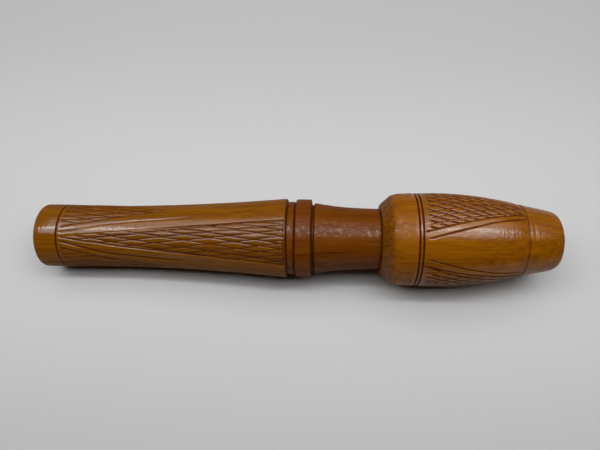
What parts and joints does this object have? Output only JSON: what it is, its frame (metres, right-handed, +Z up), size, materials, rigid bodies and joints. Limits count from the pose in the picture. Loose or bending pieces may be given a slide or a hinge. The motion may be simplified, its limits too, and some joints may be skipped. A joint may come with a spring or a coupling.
{
  "type": "game call",
  "caption": "Turned wooden game call: a long flared, checkered stopper with a lanyard groove and a bulb-shaped barrel over a brass reed.",
  "frame": {"origin": "on the call's axis, half way between the exhaust face and the mouth face", "axes": "+X along the axis towards the mouth end, +Z up out of the flat side of the tone trough, so the reed lies above the trough"},
  "size_m": [0.175, 0.0318, 0.0318],
  "materials": {
    "stopper_wood": "varnished, glossy, hand-cut checkering stained dark",
    "barrel_wood": "varnished, glossy, hand-cut checkering stained dark",
    "cedar": "bare, finely sanded",
    "reed_brass": "rolled, satin",
    "ring_rubber": "matte"
  },
  "bodies": {
    "stopper": {"stopper": "stopper_wood", "tone_trough": "cedar", "reed_wedge": "cedar"},
    "tenon_rings": {"tenon_ring_rear": "ring_rubber", "tenon_ring_front": "ring_rubber"},
    "barrel": {"mouthpiece_barrel": "barrel_wood"},
    "reed": {"reed": "reed_brass"}
  },
  "joints": [
    {"name": "barrel_twist", "type": "hinge", "parent": "stopper", "child": "tenon_rings", "pos_m": [0.0385, 0, 0], "axis": [1, 0, 0], "continuous": true},
    {"name": "barrel_pull", "type": "slide", "parent": "tenon_rings", "child": "barrel", "axis": [1, 0, 0], "range_m": [0, 0.045]},
    {"name": "reed_flex", "type": "hinge", "parent": "stopper", "child": "reed", "pos_m": [0.0405, 0, 0.00014], "axis": [0, 1, 0], "range_deg": [0, 2.6], "stiffness_Nm_per_rad": 0.01, "deforming": ["reed"]}
  ]
}
